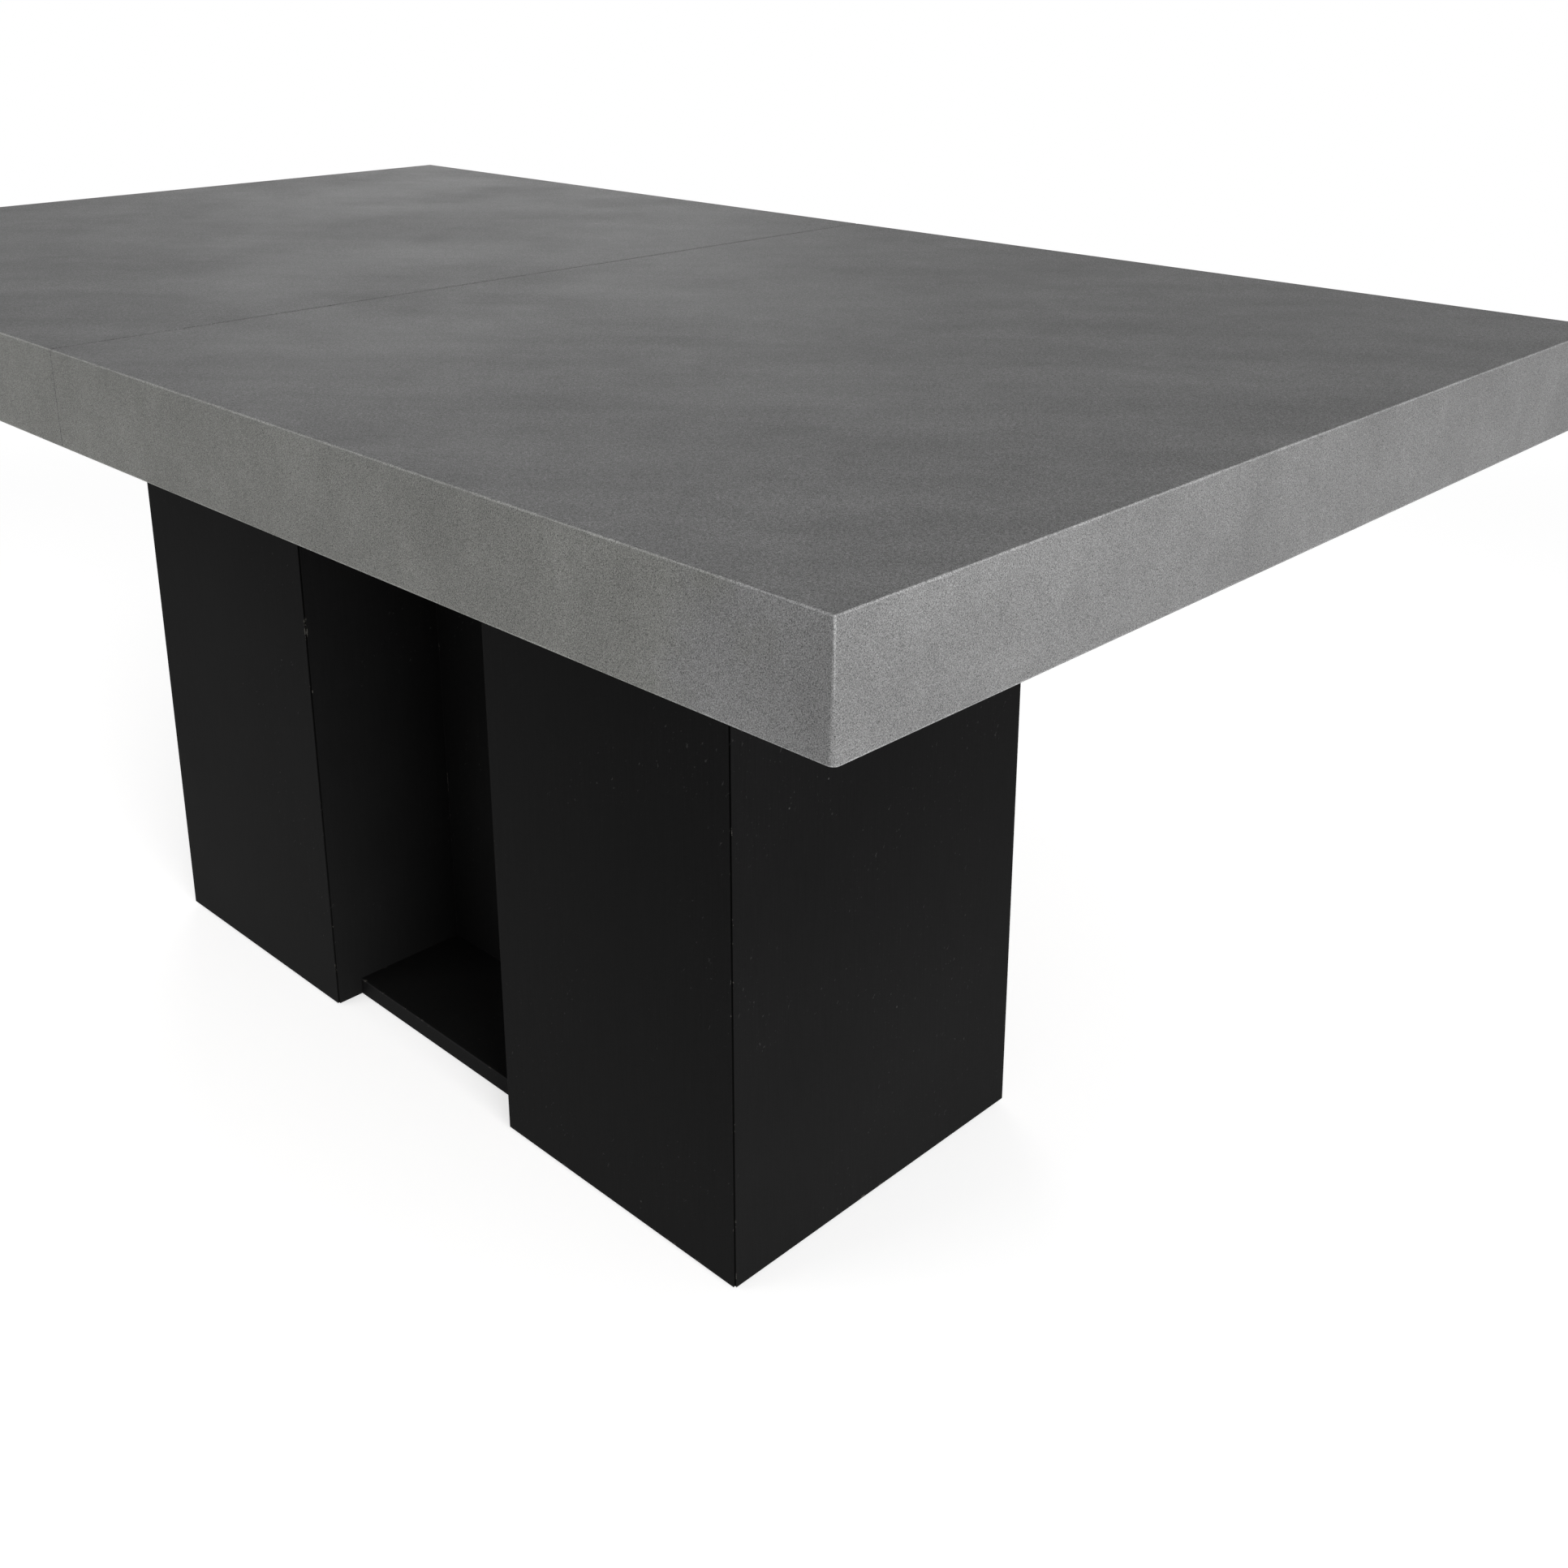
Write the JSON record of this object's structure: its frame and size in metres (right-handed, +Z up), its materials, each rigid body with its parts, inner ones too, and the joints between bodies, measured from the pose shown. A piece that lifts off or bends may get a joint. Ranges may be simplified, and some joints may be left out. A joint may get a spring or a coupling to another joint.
{
  "type": "extendable dining table",
  "caption": "Rectangular table with a thick cast top that parts in the middle over a lifting leaf, on a black twin-column base with a recessed web.",
  "frame": {"origin": "on the floor under the middle of the table", "axes": "+X along the table, +Y across it, +Z up"},
  "size_m": [1.6, 0.9, 0.76],
  "materials": {
    "cast_concrete": "fine sanded cast surface",
    "black_paint": "satin black paint",
    "raw_timber": "planed timber",
    "plywood": "birch plywood",
    "hardwood": "planed beech",
    "black_steel": "black powder coat",
    "rail_aluminium": "satin anodised",
    "bright_steel": "zinc plated",
    "white_nylon": "natural nylon",
    "black_nylon": "moulded nylon"
  },
  "bodies": {
    "base": {"right_column_front_board": "black_paint", "right_column_outer_board": "black_paint", "right_column_back_board": "black_paint", "right_column_inner_board": "black_paint", "right_column_corner_posts": "raw_timber", "right_column_caps": "raw_timber", "left_column_front_board": "black_paint", "left_column_outer_board": "black_paint", "left_column_back_board": "black_paint", "left_column_inner_board": "black_paint", "left_column_corner_posts": "raw_timber", "left_column_caps": "raw_timber", "front_web_board": "black_paint", "back_web_board": "black_paint", "web_battens": "raw_timber", "floor_board": "black_paint", "floor_glides": "black_nylon", "front_rail": "rail_aluminium", "back_rail": "rail_aluminium", "rail_bushes": "white_nylon", "right_cross_bars": "black_steel", "left_cross_bars": "black_steel", "cross_bar_bolts": "bright_steel", "pinion_bridge": "black_steel", "bridge_bolts": "bright_steel", "pinion_pin": "bright_steel", "pinion_clip": "bright_steel", "rack_guides": "white_nylon", "carriage_guide_posts": "bright_steel"},
    "right_top": {"right_half_top": "cast_concrete", "right_top_bearers": "raw_timber", "right_front_runner": "rail_aluminium", "right_back_runner": "rail_aluminium", "right_runner_glides": "white_nylon", "right_lopers": "hardwood", "right_rack": "bright_steel", "right_rack_bracket": "black_steel", "keeper_plates": "bright_steel", "keeper_pins": "bright_steel"},
    "left_top": {"left_half_top": "cast_concrete", "left_top_bearers": "raw_timber", "left_front_runner": "rail_aluminium", "left_back_runner": "rail_aluminium", "left_runner_glides": "white_nylon", "left_lopers": "hardwood", "left_rack": "bright_steel", "left_rack_bracket": "black_steel", "lock_plates": "bright_steel", "lock_pins": "bright_steel"},
    "leaf_carriage": {"carriage_side_bars": "black_steel", "carriage_cross_bars": "black_steel", "carriage_skids": "white_nylon", "carriage_bushes": "white_nylon", "leaf_bushes": "white_nylon"},
    "leaf": {"leaf_skin": "cast_concrete", "leaf_core": "plywood", "leaf_posts": "bright_steel"},
    "pinion": {"pinion": "bright_steel"},
    "front_lock": {"front_lock_lever": "bright_steel"},
    "back_lock": {"back_lock_lever": "bright_steel"}
  },
  "joints": [
    {"name": "right_top_slide", "type": "slide", "parent": "base", "child": "right_top", "axis": [1, 0, 0], "range_m": [0, 0.25]},
    {"name": "left_top_slide", "type": "slide", "parent": "base", "child": "left_top", "axis": [-1, 0, 0], "range_m": [0, 0.25]},
    {"name": "pinion_turn", "type": "hinge", "parent": "base", "child": "pinion", "pos_m": [0, 0, 0.65], "axis": [0, 0, -1], "range_deg": [0, 640]},
    {"name": "carriage_rise", "type": "slide", "parent": "base", "child": "leaf_carriage", "axis": [0, 0, 1], "range_m": [0, 0.019]},
    {"name": "leaf_lift", "type": "slide", "parent": "leaf_carriage", "child": "leaf", "axis": [0, 0, 1], "range_m": [0, 0.019]},
    {"name": "front_lock_turn", "type": "hinge", "parent": "left_top", "child": "front_lock", "pos_m": [-0.035, -0.412, 0.694], "axis": [0, 0, -1], "range_deg": [0, 90]},
    {"name": "back_lock_turn", "type": "hinge", "parent": "left_top", "child": "back_lock", "pos_m": [-0.035, 0.412, 0.694], "axis": [0, 0, 1], "range_deg": [0, 90]}
  ],
  "couplings": [
    {"joint": "left_top_slide", "follows": "right_top_slide", "ratio": 1},
    {"joint": "pinion_turn", "follows": "right_top_slide", "rad_per_m": 44.444},
    {"joint": "carriage_rise", "follows": "right_top_slide", "ratio": 0.076}
  ]
}
